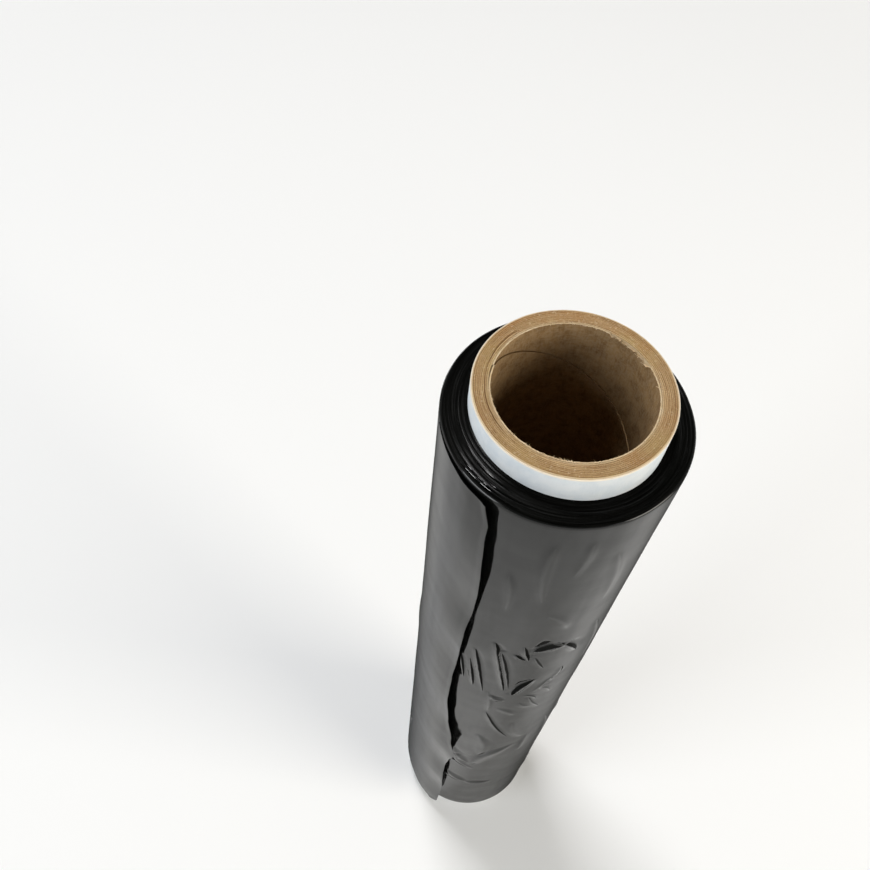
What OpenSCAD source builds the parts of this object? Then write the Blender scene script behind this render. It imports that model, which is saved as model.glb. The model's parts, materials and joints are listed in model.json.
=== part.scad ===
// Hand roll of black stretch wrap. A spiral-wound kraft paper core with a thin
// white cover ply carries the wound film and stands out past it at both ends.
// Millimetres. +Z runs up along the roll, and the origin is the centre of the
// core's lower end, which the roll stands on.

/* [Core] */
// Bore of the core, which slips over a dispenser's spindle
core_bore_d = 50.8; // [38:0.1:80]
// Number of kraft plies glued into the core's wall
core_plies = 10; // [6:1:14]
// Thickness of one kraft ply with its glue
ply_t = 0.56; // [0.4:0.02:0.8]
// Width of the paper strip that the core is wound from
strip_w = 76; // [50:1:100]
// Length of core that stands out past each end of the film
core_stand = 12; // [6:0.5:25]
// Thickness of the white cover ply
cover_t = 0.35; // [0.2:0.05:0.8]
// How far the cover ply stops short of each cut end of the core
cover_short = 0.25; // [0.1:0.05:1]

/* [Cut ends] */
// Largest step between one ply and the next on a sawn end
ply_step = 0.3; // [0.1:0.05:0.6]
// Width of the glue line that shows between two plies
glue_w = 0.14; // [0.05:0.01:0.3]
// Depth of the glue line
glue_deep = 0.35; // [0.1:0.05:0.6]
// Direction of the middle of the torn stretch of the innermost ply
tear_a = 48; // [0:1:360]
// Half the width of the torn stretch
tear_half_w = 9; // [4:0.5:14]
// Greatest depth of the tear below the cut end
tear_deep = 3.2; // [1:0.1:8]

/* [Seam] */
// Gap between two turns of the innermost strip
seam_w = 0.9; // [0.4:0.1:1.6]
// Direction in which that seam meets the core's upper end
seam_top_a = 166; // [0:1:360]

/* [Film] */
// Width of the film, which is the length of the wound part
film_w = 400; // [250:5:500]
// Depth of film wound on the core
film_build = 8.65; // [6:0.05:40]
// Radius on the film's shoulders, where the outer turns draw in
shoulder_r = 1.8; // [1:0.1:4]
// Number of ridges that the turns make on each end face
turn_bands = 13; // [6:1:24]
// Height of those ridges
turn_rise = 0.55; // [0.1:0.05:1]
// How far the turns next to the core stand above the outer turns
turn_proud = 1; // [0:0.1:3]

/* [Loose outer turn] */
// Direction of the film's cut tail edge
tail_a = 240; // [0:1:360]
// Angle round the roll over which the outer turn has come loose
tail_reach = 50; // [30:1:80]
// How far the tail edge stands off the roll
tail_lift = 3.4; // [1.5:0.1:6]
// Thickness of the loose turns that cling together
tail_t = 0.8; // [0.4:0.1:1.2]
// Furthest that the tail edge wanders from a straight line
tail_wander = 7.5; // [0:0.5:10]
// How far the loose turn stops short of the film's ends
tail_inset = 1.5; // [0:0.5:5]

/* [Creases] */
// Width of the widest crease in the outer turn
crease_w = 5; // [2:0.5:8]
// Height of the highest crease
crease_h = 1.1; // [0.4:0.1:2]

/* [Hidden] */
$fn = 120;

bore_r = core_bore_d / 2;
core_r = bore_r + core_plies * ply_t;
cover_r = core_r + cover_t;
film_r = cover_r + film_build;
core_l = film_w + 2 * core_stand;
film_z0 = core_stand;
film_z1 = core_stand + film_w;
over = 1;

// Every strip advances by the same lead in a turn. A strip that is wound edge
// to edge on the mandrel covers it when lead * cos(helix angle) = strip width.
bore_round = PI * core_bore_d;
lead = strip_w * bore_round / sqrt(bore_round * bore_round - strip_w * strip_w);
// Depth of the bore's seam, less than the ply that it parts
seam_deep = 0.6 * ply_t;
seam_steps = 48;

// Depth of ply i below the sawn end. The outermost plies are flush, so the
// core stands on them.
function ply_drop(i) = i == 0 || i >= core_plies - 2 ? 0 : ply_step * max(0, sin(137 * i));
function ply_r(i) = bore_r + i * ply_t;

// Half section of one sawn end as points [radius, height above the end]
function cut_end() = [
    for (i = [0 : core_plies - 1])
        each [
            if (i > 0) [ply_r(i), -glue_deep],
            [ply_r(i) + (i > 0 ? glue_w / 2 : 0), -ply_drop(i)],
            [ply_r(i + 1) - (i < core_plies - 1 ? glue_w / 2 : 0), -ply_drop(i)]
        ]
];

function reversed(pts) = [for (i = [len(pts) - 1 : -1 : 0]) pts[i]];

// A closed half section from the upper end's points: the lower end repeats them
function two_ends(pts, low, high) = concat(
    [for (p = pts) [p.x, high + p.y]],
    [for (p = reversed(pts)) [p.x, low - p.y]]
);

// Turns of film stand at slightly different heights, in bands, and rise a
// little towards the core
flat_w = film_build - shoulder_r;
function band_r(i) = cover_r + flat_w * i / turn_bands;
function band_rise(i) = turn_rise * (0.35 + 0.3 * sin(97 * i) + 0.35 * sin(211 * i));
function band_proud(i) = turn_proud * pow(1 - i / turn_bands, 1.5);
function film_end() = concat(
    [
        for (i = [0 : turn_bands - 1])
            each [
                [band_r(i), -turn_rise + band_proud(i)],
                [band_r(i + 0.7), -turn_rise + band_proud(i) + band_rise(i)]
            ]
    ],
    [
        for (a = [90 : -15 : 0])
            [film_r - shoulder_r + shoulder_r * cos(a), shoulder_r * (sin(a) - 1)]
    ]
);

// Cutter for the bore's seam: a square thread of the strip's lead, which starts
// an eighth of a turn above the upper end and runs out below the lower one
module seam_cutter() {
    lead_in = seam_steps / 8;
    steps = ceil(core_l / lead * seam_steps) + 2 * lead_in;
    section = [
        [bore_r - over, -seam_w / 2], [bore_r + seam_deep, -seam_w / 2],
        [bore_r + seam_deep, seam_w / 2], [bore_r - over, seam_w / 2]
    ];
    pts = [
        for (k = [0 : steps])
            let (a = seam_top_a - (k - lead_in) * 360 / seam_steps,
                 z = core_l - (k - lead_in) * lead / seam_steps)
                for (s = section) [s.x * cos(a), s.x * sin(a), z + s.y]
    ];
    sides = [
        for (k = [0 : steps - 1], j = [0 : 3])
            let (a = 4 * k + j, b = 4 * k + (j + 1) % 4)
                each [[a, b, b + 4], [a, b + 4, a + 4]]
    ];
    polyhedron(pts, concat(sides, [[3, 2, 1, 0], [4 * steps, 4 * steps + 1, 4 * steps + 2, 4 * steps + 3]]));
}

// Ragged outline of the torn paper, as seen from the core's axis
module torn_outline() {
    polygon([
        [-tear_half_w, over], [-tear_half_w, 0],
        [-0.93 * tear_half_w, -0.75 * tear_deep], [-0.8 * tear_half_w, -tear_deep],
        [-0.66 * tear_half_w, -0.7 * tear_deep], [-0.45 * tear_half_w, -0.8 * tear_deep],
        [-0.2 * tear_half_w, -0.45 * tear_deep], [0.1 * tear_half_w, -0.55 * tear_deep],
        [0.4 * tear_half_w, -0.25 * tear_deep], [0.75 * tear_half_w, -0.35 * tear_deep],
        [tear_half_w, 0], [tear_half_w, over]
    ]);
}

// Kraft core: glued plies that show as rings on the sawn ends, the seam of the
// innermost strip, and the place where that strip has torn away
module core_tube() {
    color("burlywood")
        difference() {
            rotate_extrude() polygon(two_ends(cut_end(), 0, core_l));
            seam_cutter();
            intersection() {
                translate([0, 0, core_l - 2 * tear_deep])
                    cylinder(r = bore_r + ply_t, h = 2 * tear_deep + 2 * over);
                translate([0, 0, core_l]) rotate([0, 0, tear_a]) rotate([90, 0, 90])
                    linear_extrude(height = bore_r + 2 * ply_t) torn_outline();
            }
        }
}

// White paper ply glued on the outside of the core, with its turns edge to edge
module cover_ply() {
    color("whitesmoke")
        rotate_extrude()
            translate([core_r, cover_short]) square([cover_t, core_l - 2 * cover_short]);
}

// The outer turn lies on a wider arc that leaves the roll at the tail's root.
// The arc's centre is set back so that its edge stands off by the lift.
tail_r = film_r - 0.05;
tail_back = (pow(tail_r + tail_lift, 2) - tail_r * tail_r)
    / (2 * (tail_r - (tail_r + tail_lift) * cos(tail_reach)));

// The tail edge swings out in a lobe below the middle, and its corners draw
// back: [height as a part of the film's width, swing as a part of the wander]
tail_line = [
    [0, 0], [0.03, 0.65], [0.12, 0.75], [0.26, 0.55], [0.31, 0.75], [0.35, 1], [0.4, 0.55],
    [0.46, 0.05], [0.56, -0.25], [0.62, -0.3], [0.75, -0.1], [0.87, 0.15], [0.97, -0.1], [1, -0.5]
];
function tail_swing(part) = (lookup(part - 0.012, tail_line) + lookup(part + 0.012, tail_line)) / 2;
function tail_edge(z) = tail_wander * tail_swing((z - film_z0) / film_w);

module loose_turn() {
    h = film_w - 2 * tail_inset;
    arc_r = tail_r + tail_back;
    intersection() {
        rotate([0, 0, tail_a - tail_reach]) translate([-tail_back, 0, film_z0 + tail_inset])
            difference() {
                cylinder(r = arc_r, h = h);
                translate([0, 0, -over]) cylinder(r = arc_r - tail_t, h = h + 2 * over);
            }
        rotate([0, 0, tail_a]) rotate([90, 0, 90])
            linear_extrude(height = film_r + 2 * tail_lift)
                polygon(concat(
                    [[-film_r * sin(tail_reach), film_z1], [-film_r * sin(tail_reach), film_z0]],
                    [for (z = [film_z0 : film_w / 80 : film_z1]) [tail_edge(z), z]]
                ));
    }
}

// A crease in the outer turn from [direction, height] p to q, bowed sideways.
// Its section is a low ridge that fades out at both ends.
module crease(p, q, bow = 0, size = 1) {
    rings = 14;
    sunk = 0.6;
    section = [[-0.5, 0], [-0.22, 0.55], [0, 1], [0.16, 0.6], [0.5, 0]];
    along = [(q.x - p.x) * film_r * PI / 180, q.y - p.y];
    side = [-along.y, along.x] / norm(along);
    n = len(section) + 2;
    pts = [
        for (k = [0 : rings])
            let (t = k / rings,
                 fade = 0.08 + 0.92 * pow(sin(180 * t), 0.7),
                 mid = [p.x * film_r * PI / 180, p.y] + t * along + bow * sin(180 * t) * side)
                for (s = concat([[-0.5, -1]], section, [[0.5, -1]]))
                    let (place = mid + s.x * crease_w * size * fade * side,
                         a = place.x / (film_r * PI / 180),
                         r = film_r + (s.y < 0 ? -sunk : crease_h * size * fade * s.y - 0.08))
                        [r * cos(a), r * sin(a), place.y]
    ];
    sides = [
        for (k = [0 : rings - 1], j = [0 : n - 1])
            let (a = n * k + j, b = n * k + (j + 1) % n)
                each [[a, a + n, b + n], [a, b + n, b]]
    ];
    polyhedron(pts, concat(
        sides,
        [[for (j = [0 : n - 1]) j], [for (j = [n - 1 : -1 : 0]) n * rings + j]]
    ));
}

// Short creases that gather beside the tail edge, longer ones that fan out from
// them round the roll, then slack bows lower down
module creases() {
    crease([243, 286], [249, 255], size = 0.8);
    crease([247, 298], [256, 253], size = 0.7);
    crease([256, 312], [268, 259]);
    crease([267, 305], [277, 298], size = 0.7);
    crease([279, 301], [287, 288], size = 0.6);
    crease([278, 309], [292, 311], bow = 1.5, size = 1.2);
    crease([295, 314], [305, 298], bow = 0.8);
    crease([302, 282], [298, 270], bow = 1.4, size = 0.6);
    crease([296, 267], [288, 255], size = 0.6);
    crease([276, 254], [285, 273], bow = 1.4, size = 1.1);
    crease([287, 247], [298, 228], bow = -0.8, size = 0.6);
    crease([262, 251], [270, 246], bow = -1.5, size = 0.8);
    crease([262, 223], [283, 183], bow = -1.2, size = 0.7);
    crease([253, 143], [262, 126], bow = -1.5);
    crease([265, 124], [291, 162], bow = 3.5, size = 1.1);
    crease([248, 92], [284, 77], bow = -6);
    crease([312, 322], [319, 271], bow = 2, size = 0.9);
    crease([326, 196], [339, 172], bow = -3, size = 0.8);
}

// Wound film: one solid whose turns ridge the end faces
module film_roll() {
    color("#161616") {
        rotate_extrude() polygon(two_ends(film_end(), film_z0, film_z1));
        loose_turn();
        creases();
    }
}

core_tube();
cover_ply();
film_roll();
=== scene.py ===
import json
import math
import re
from functools import reduce

import bmesh
import bpy
from mathutils import Matrix, Vector
from mathutils.noise import noise


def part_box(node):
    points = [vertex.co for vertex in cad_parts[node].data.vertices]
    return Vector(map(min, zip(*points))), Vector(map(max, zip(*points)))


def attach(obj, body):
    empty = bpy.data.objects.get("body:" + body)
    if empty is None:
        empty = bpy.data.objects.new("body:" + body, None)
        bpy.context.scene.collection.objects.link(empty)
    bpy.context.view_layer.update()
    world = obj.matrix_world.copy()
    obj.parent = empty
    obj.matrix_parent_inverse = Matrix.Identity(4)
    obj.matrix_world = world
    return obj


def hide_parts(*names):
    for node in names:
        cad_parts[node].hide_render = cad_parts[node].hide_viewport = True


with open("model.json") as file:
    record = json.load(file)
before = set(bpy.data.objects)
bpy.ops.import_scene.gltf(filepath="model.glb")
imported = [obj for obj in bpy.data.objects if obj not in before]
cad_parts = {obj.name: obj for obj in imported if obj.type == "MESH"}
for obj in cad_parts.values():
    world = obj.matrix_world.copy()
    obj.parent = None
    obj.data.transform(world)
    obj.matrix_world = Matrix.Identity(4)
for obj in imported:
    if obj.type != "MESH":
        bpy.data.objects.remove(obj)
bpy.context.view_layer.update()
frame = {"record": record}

mm = 0.001
turn = 2 * math.pi

# Sizes that every piece shares, read from the frame
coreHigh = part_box("core_tube")[1]
coverLow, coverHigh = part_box("cover_ply")
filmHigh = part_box("film_roll")[1]
boreMount = next(m for m in frame["record"]["mounts"] if m["name"] == "core_bore")
boreRadius = boreMount["dims"]["r_mm"] * mm
coreRadius = coreHigh.x
coreLength = coreHigh.z
coverRadius = coverHigh.x
filmRadius = filmHigh.x

winding = {
    "stripWidth": 76 * mm,  # paper strip that every ply is wound from
    "plyThickness": 0.56 * mm,
    "filmWidth": 400 * mm,
    "frontAngle": math.radians(-98),  # the side that the camera looks at
}
boreRound = turn * boreRadius
winding["lead"] = (winding["stripWidth"] * boreRound
                   / math.sqrt(boreRound ** 2 - winding["stripWidth"] ** 2))
filmBottom = (coreLength - winding["filmWidth"]) / 2
filmTop = coreLength - filmBottom
print("frame read: core", round(coreLength / mm), "mm, film", round((filmTop - filmBottom) / mm), "mm")


def clamp(value, low=0.0, high=1.0):
    return max(low, min(high, value))


def smoothStep(low, high, value):
    t = clamp((value - low) / (high - low))
    return t * t * (3 - 2 * t)


def turnedFrom(angle, middle):  # signed angle from middle, within half a turn
    return (angle - middle + math.pi) % turn - math.pi


def onCylinder(radius, angle, z):
    return Vector((radius * math.cos(angle), radius * math.sin(angle), z))


def socketName(word):  # CoatRoughness to "Coat Roughness"
    return re.sub(r"(?<=[a-z])(?=[A-Z])|(?<=[A-Z])(?=[A-Z][a-z])", " ", word)


# Shorthand for building a node tree of either kind
class Graph:
    def __init__(self, tree):
        self.tree = tree

    def feed(self, socket, value):
        if isinstance(value, bpy.types.NodeSocket):
            self.tree.links.new(value, socket)
        else:
            socket.default_value = value

    def add(self, kind, feeds=None, **settings):
        node = self.tree.nodes.new(kind)
        for name, value in settings.items():
            setattr(node, name, value)
        for name, value in (feeds or {}).items():
            self.feed(node.inputs[name], value)
        return node

    def maths(self, operation, *values):
        node = self.add("ShaderNodeMath", operation=operation)
        for socket, value in zip(node.inputs, values):
            self.feed(socket, value)
        return node.outputs[0]

    def plus(self, *values):
        return reduce(lambda a, b: self.maths("ADD", a, b), values)

    def times(self, *values):
        return reduce(lambda a, b: self.maths("MULTIPLY", a, b), values)

    def minus(self, first, second):
        return self.maths("SUBTRACT", first, second)

    def over(self, first, second):
        return self.maths("DIVIDE", first, second)

    def apart(self, first, second):
        return self.maths("ABSOLUTE", self.minus(first, second))

    def vector(self, operation, *values):
        node = self.add("ShaderNodeVectorMath", operation=operation)
        for socket, value in zip(node.inputs, values):
            self.feed(socket, value)
        scalar = operation in ("DOT_PRODUCT", "LENGTH", "DISTANCE")
        return node.outputs["Value" if scalar else "Vector"]

    def scaled(self, vector, factor):
        return self.add("ShaderNodeVectorMath", {"Vector": vector, "Scale": factor},
                        operation="SCALE").outputs["Vector"]

    def combine(self, x, y, z):
        return self.add("ShaderNodeCombineXYZ", {"X": x, "Y": y, "Z": z}).outputs[0]

    def split(self, vector):
        return self.add("ShaderNodeSeparateXYZ", {"Vector": vector}).outputs

    def flat(self, vector):  # without its height
        return self.vector("MULTIPLY", vector, (1.0, 1.0, 0.0))

    def onCylinder(self, radius, angle, z):
        return self.combine(self.times(radius, self.maths("COSINE", angle)),
                            self.times(radius, self.maths("SINE", angle)), z)

    def fit(self, value, low, high, newLow=0.0, newHigh=1.0, kind="SMOOTHSTEP"):
        feeds = {"Value": value, "From Min": low, "From Max": high, "To Min": newLow, "To Max": newHigh}
        return self.add("ShaderNodeMapRange", feeds, interpolation_type=kind).outputs[0]

    def noise(self, vector, detail, rough, seed):
        feeds = {"Vector": vector, "Scale": 1.0, "Detail": detail, "Roughness": rough, "W": seed}
        return self.add("ShaderNodeTexNoise", feeds, noise_dimensions="4D").outputs[0]

    def marked(self, name, kind="FLOAT"):
        return self.add("GeometryNodeInputNamedAttribute", {"Name": name}, data_type=kind).outputs[0]

    def sampled(self, geometry, field, index, kind="FLOAT"):
        feeds = {"Geometry": geometry, "Value": field, "Index": index}
        return self.add("GeometryNodeSampleIndex", feeds, data_type=kind).outputs[0]

    def store(self, geometry, name, value):
        feeds = {"Geometry": geometry, "Name": name, "Value": value}
        return self.add("GeometryNodeStoreNamedAttribute", feeds, data_type="FLOAT",
                        domain="POINT").outputs[0]

    def blend(self, factor, first, second):
        node = self.add("ShaderNodeMix", data_type="RGBA")
        self.feed(node.inputs[0], factor)
        self.feed(node.inputs[6], first)
        self.feed(node.inputs[7], second)
        return node.outputs[2]


def newTree(name, kind, inputs, outputs):
    tree = bpy.data.node_groups.new(name, kind)
    for end, sockets in (("INPUT", inputs), ("OUTPUT", outputs)):
        for label, socketKind, *value in sockets:
            socket = tree.interface.new_socket(label, in_out=end, socket_type=socketKind)
            if value:
                socket.default_value = value[0]
    graph = Graph(tree)
    return graph, graph.add("NodeGroupInput").outputs, graph.add("NodeGroupOutput").inputs


def endTree(g, given, out, made):  # ends a geometry tree that has a "Material" input
    solid = g.add("GeometryNodeRealizeInstances", {"Geometry": made}).outputs[0]
    dressed = g.add("GeometryNodeSetMaterial", {"Geometry": solid, "Material": given["Material"]})
    g.feed(out["Mesh"], dressed.outputs[0])
    return g.tree


number = "NodeSocketFloat"
whole = "NodeSocketInt"
shape = "NodeSocketGeometry"
finish = "NodeSocketMaterial"
thing = "NodeSocketObject"
direction = "NodeSocketVector"


# Geometry trees

# Turns a profile round the Z axis. Each vertex of the profile is one row, with
# radius in X and height in Z. "ring" marks the rows of the wound ends, which
# rise and fall from turn to turn. Columns crowd together at the front.
def makeLatheTree():
    g, given, out = newTree("turnedProfile", "GeometryNodeTree", [
        ("Profile", shape), ("Columns", whole, 240), ("Front Angle", number), ("Crowding", number, 0.5),
        ("Turn Rise", number, 0.0003), ("Turn Pitch", number, 0.0006), ("Waver", number, 0.6),
        ("Band Rise", number, 0.0), ("Lean", number, 0.0), ("Lean Angle", number, 0.0),
        ("Seed", number), ("Material", finish)], [("Mesh", shape)])
    rows = g.add("GeometryNodeAttributeDomainSize", {"Geometry": given["Profile"]}).outputs["Point Count"]
    grid = g.add("GeometryNodeMeshGrid", {
        "Size X": 1.0, "Size Y": 1.0,
        "Vertices X": g.plus(given["Columns"], 1.0), "Vertices Y": g.plus(rows, 1.0)}).outputs["Mesh"]
    position = g.add("GeometryNodeInputPosition").outputs[0]
    place = g.split(position)
    row = g.maths("MODULO", g.maths("ROUND", g.times(g.plus(place[1], 0.5), rows)), rows)
    phase = g.times(g.plus(place[0], 0.5), turn)
    bunched = g.minus(g.maths("SINE", phase), g.times(g.maths("SINE", g.times(phase, 2.0)), 0.1))
    angle = g.plus(given["Front Angle"], g.minus(phase, g.times(given["Crowding"], bunched)))
    point = g.split(g.sampled(given["Profile"], position, row, "FLOAT_VECTOR"))
    ring, skin, lean = (g.sampled(given["Profile"], g.marked(name), row)
                        for name in ("ring", "skin", "lean"))
    sway = g.scaled(g.onCylinder(1.0, angle, 0.0), given["Waver"])
    seed = g.plus(given["Seed"], g.times(ring, 17.0))  # keeps the two ends from matching

    def turnNoise(pitch, detail):
        across = g.combine(0.0, 0.0, g.over(point[0], pitch))
        return g.minus(g.noise(g.vector("ADD", across, sway), detail, 0.6, seed), 0.5)

    rise = g.times(given["Turn Rise"], turnNoise(given["Turn Pitch"], 2.0))
    band = g.times(given["Band Rise"], turnNoise(g.times(given["Turn Pitch"], 4.0), 1.0))
    leaning = g.maths("COSINE", g.minus(angle, given["Lean Angle"]))
    lift = g.plus(g.times(ring, g.plus(rise, band), 2.0), g.times(lean, g.times(given["Lean"], leaning)))
    spot = g.onCylinder(point[0], angle, g.plus(point[2], lift))
    held = g.store(grid, "skin", skin)
    placed = g.add("GeometryNodeSetPosition", {"Geometry": held, "Position": spot}).outputs[0]
    closed = g.add("GeometryNodeMergeByDistance", {"Geometry": placed, "Distance": 1e-6}).outputs[0]
    return endTree(g, given, out, closed)


# Raises creases over the skin of a roll, along the polylines of another object,
# with a trough on one side of each, and lets the skin bulge gently
def makeCreaseTree():
    g, given, out = newTree("creasedSkin", "GeometryNodeTree", [
        ("Mesh", shape), ("Lines", thing), ("Height", number, 0.001), ("Width", number, 0.004),
        ("Slack", number, 0.0002), ("Slack Size", number, 0.03), ("Seed", number),
        ("Material", finish)], [("Mesh", shape)])
    lines = g.add("GeometryNodeObjectInfo", {"Object": given["Lines"]}).outputs["Geometry"]
    spot = g.add("GeometryNodeInputPosition").outputs[0]
    near = g.add("GeometryNodeProximity", {"Geometry": lines}, target_element="EDGES").outputs
    index = g.add("GeometryNodeSampleNearest", {"Geometry": lines}, domain="POINT").outputs[0]

    def fromLine(name, kind="FLOAT"):
        return g.sampled(lines, g.marked(name, kind), index, kind)

    size = fromLine("size")
    depth = fromLine("depth")
    half = g.maths("MAXIMUM", g.times(given["Width"], size, 0.5), 1e-5)
    away = g.over(near["Distance"], half)
    sharp = g.maths("POWER", g.fit(away, 0.0, 1.0, 1.0, 0.0, "LINEAR"), 1.5)
    soft = g.fit(away, 0.0, 1.8, 0.6, 0.0)  # a slight crease is a low round fold
    crest = g.plus(soft, g.times(depth, g.minus(sharp, soft)))
    aside = g.vector("SUBTRACT", spot, near["Position"])
    across = g.over(g.vector("DOT_PRODUCT", aside, fromLine("side", "FLOAT_VECTOR")), half)
    trough = g.times(g.fit(g.apart(across, 1.1), 0.0, 1.0, 0.35, 0.0), g.fit(away, 1.8, 2.6, 1.0, 0.0),
                     g.maths("MULTIPLY_ADD", depth, 0.5, 0.5))
    fold = g.times(given["Height"], g.maths("MINIMUM", size, 1.1), g.minus(crest, trough))
    bulge = g.vector("DIVIDE", spot, g.scaled((1.0, 1.0, 3.0), given["Slack Size"]))
    bulge = g.times(g.minus(g.noise(bulge, 2.0, 0.5, given["Seed"]), 0.6), given["Slack"], 2.0)
    skin = g.marked("skin")
    amount = g.times(skin, g.plus(fold, bulge))
    amount = g.add("GeometryNodeBlurAttribute", {"Value": amount, "Iterations": 2},
                   data_type="FLOAT").outputs[0]  # eases the step where two creases meet
    outwards = g.vector("NORMALIZE", g.flat(spot))
    close = g.times(skin, g.minus(2.0, g.maths("MINIMUM", away, 2.0)))
    held = given["Mesh"]
    for mark, value in (("foldAcross", across), ("foldNear", close), ("foldDark", depth)):
        held = g.store(held, mark, value)  # read by the film's finish, which paints shade along the folds and highlights on their crests
    moved = g.add("GeometryNodeSetPosition",
                  {"Geometry": held, "Offset": g.scaled(outwards, amount)}).outputs[0]
    return endTree(g, given, out, moved)


# A strip of paper wound edge to edge on a mandrel, from below its lower end to
# above its upper one
def makeStripTree():
    g, given, out = newTree("woundStrip", "GeometryNodeTree", [
        ("Mesh", shape), ("Radius", number, 0.03), ("Lead", number, 0.08), ("Gap", number, 0.001),
        ("Lip", number), ("Lip Width", number, 0.004), ("Length", number, 0.4), ("Top Angle", number),
        ("Columns A Turn", number, 240.0), ("Rows", whole, 12), ("Material", finish)], [("Mesh", shape)])
    turns = g.plus(g.over(given["Length"], given["Lead"]), 1.0)
    columns = g.maths("CEIL", g.times(turns, given["Columns A Turn"]))
    grid = g.add("GeometryNodeMeshGrid", {"Size X": 1.0, "Size Y": 1.0, "Vertices X": columns,
                                          "Vertices Y": given["Rows"]}).outputs["Mesh"]
    place = g.split(g.add("GeometryNodeInputPosition").outputs[0])
    wound = g.times(g.minus(place[0], 0.5), turns)
    width = g.minus(given["Lead"], given["Gap"])
    across = g.times(g.plus(place[1], 0.5), width)
    start = g.plus(given["Length"], g.times(given["Gap"], 0.5))
    height = g.plus(g.times(wound, given["Lead"]), g.plus(across, start))
    angle = g.plus(given["Top Angle"], g.times(wound, turn))
    lip = g.fit(across, g.minus(width, given["Lip Width"]), width)
    lip = g.times(given["Lip"], lip)
    radius = g.minus(given["Radius"], lip)  # the strip's upper edge lifts inwards
    spot = g.onCylinder(radius, angle, height)
    placed = g.add("GeometryNodeSetPosition", {"Geometry": grid, "Position": spot}).outputs[0]
    return endTree(g, given, out, placed)


# Loose fibres that stand along a cut edge, more of them where "density" is high
def makeFibreTree():
    g, given, out = newTree("edgeFibres", "GeometryNodeTree", [
        ("Edge", shape), ("Count", whole, 400), ("Length", number, 0.001), ("Thickness", number, 0.0001),
        ("Seed", whole), ("Material", finish)], [("Mesh", shape)])
    curve = g.add("GeometryNodeMeshToCurve", {"Mesh": given["Edge"]}).outputs[0]
    curve = g.add("GeometryNodeResampleCurve", {"Curve": curve, "Count": given["Count"]}).outputs[0]

    def random(low, high, extra, kind="FLOAT"):
        node = g.add("FunctionNodeRandomValue", data_type=kind)
        sockets = [s for s in node.inputs if s.enabled]
        g.feed(sockets[0], low)
        g.feed(sockets[1], high)
        g.feed(node.inputs["Seed"], g.plus(given["Seed"], extra))
        return next(s for s in node.outputs if s.enabled)

    kept = g.maths("LESS_THAN", random(0.0, 1.0, 1), g.marked("density"))
    cone = g.add("GeometryNodeMeshCone", {
        "Vertices": 5, "Side Segments": 2, "Depth": given["Length"], "Radius Bottom": given["Thickness"],
        "Radius Top": g.times(given["Thickness"], 0.3)}).outputs["Mesh"]
    tilt = random((-1.3, -1.3, 0.0), (1.3, 1.3, turn), 2, "FLOAT_VECTOR")
    grown = g.add("GeometryNodeInstanceOnPoints", {
        "Points": curve, "Selection": kept, "Instance": cone, "Rotation": tilt,
        "Scale": g.combine(random(0.5, 1.5, 3), random(0.5, 2.6, 4), random(0.25, 1.2, 5))}).outputs[0]
    jitter = random((-0.00015, -0.00015, -0.0004), (0.00015, 0.00015, 0.0001), 6, "FLOAT_VECTOR")
    moved = g.add("GeometryNodeTranslateInstances", {"Instances": grown, "Translation": jitter})
    return endTree(g, given, out, moved.outputs[0])


def addTree(piece, tree, **values):
    modifier = piece.modifiers.new(tree.name, "NODES")
    modifier.node_group = tree
    sockets = {s.name: s.identifier for s in tree.interface.items_tree
               if s.item_type == "SOCKET" and s.in_out == "INPUT"}
    for name, value in values.items():
        modifier[sockets[socketName(name)]] = value
    return modifier


def newPiece(name, points, edges=(), faces=(), **marks):
    mesh = bpy.data.meshes.new(name)
    mesh.from_pydata(points, edges, faces)
    for mark, values in marks.items():
        kind = "FLOAT_VECTOR" if isinstance(values[0], Vector) else "FLOAT"
        layer = mesh.attributes.new(mark, kind, "POINT")
        if kind == "FLOAT":
            layer.data.foreach_set("value", values)
        else:
            layer.data.foreach_set("vector", [c for v in values for c in v])
    piece = bpy.data.objects.new(name, mesh)
    bpy.context.scene.collection.objects.link(piece)
    return piece


# Replaces a piece's live modifiers by the plain mesh that they make
def settle(piece):
    bpy.context.view_layer.update()
    graph = bpy.context.evaluated_depsgraph_get()
    made = bpy.data.meshes.new_from_object(piece.evaluated_get(graph))
    made.name = piece.name
    if made.materials and made.materials[0] is None:  # Set Material leaves the first slot empty
        made.materials.pop(index=0)
        made.polygons.foreach_set("material_index", [0] * len(made.polygons))
    piece.modifiers.clear()
    piece.data = made
    return piece


def shapeMesh(piece, work):  # edits a piece's mesh with bmesh
    mesh = bmesh.new()
    mesh.from_mesh(piece.data)
    work(mesh)
    mesh.to_mesh(piece.data)
    mesh.free()
    piece.data.update()


def facesOut(piece):
    shapeMesh(piece, lambda mesh: bmesh.ops.recalc_face_normals(mesh, faces=mesh.faces))


def thicken(piece, thickness):  # gives a sheet that wraps the Z axis a thickness outwards
    facesOut(piece)
    first = piece.data.polygons[0]
    outward = first.center.x * first.normal.x + first.center.y * first.normal.y > 0
    thick = piece.modifiers.new("thickness", "SOLIDIFY")
    thick.thickness = thickness
    thick.offset = 1.0 if outward else -1.0
    settle(piece)
    facesOut(piece)


def smoothBelow(piece, degrees):  # smooth shading, with the sharper edges kept
    piece.data.polygons.foreach_set("use_smooth", [True] * len(piece.data.polygons))
    piece.data.set_sharp_from_angle(angle=math.radians(degrees))


def isPart(piece, slotName, *nodes):  # the piece belongs to the roll
    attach(piece, "root")
    if nodes:
        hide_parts(*nodes)
    triangles = sum(len(p.vertices) - 2 for p in piece.data.polygons)
    print("made", piece.name, "with", triangles, "triangles")


latheTree = makeLatheTree()
creaseTree = makeCreaseTree()
stripTree = makeStripTree()
fibreTree = makeFibreTree()
print("geometry trees made")


# Shader groups

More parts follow.
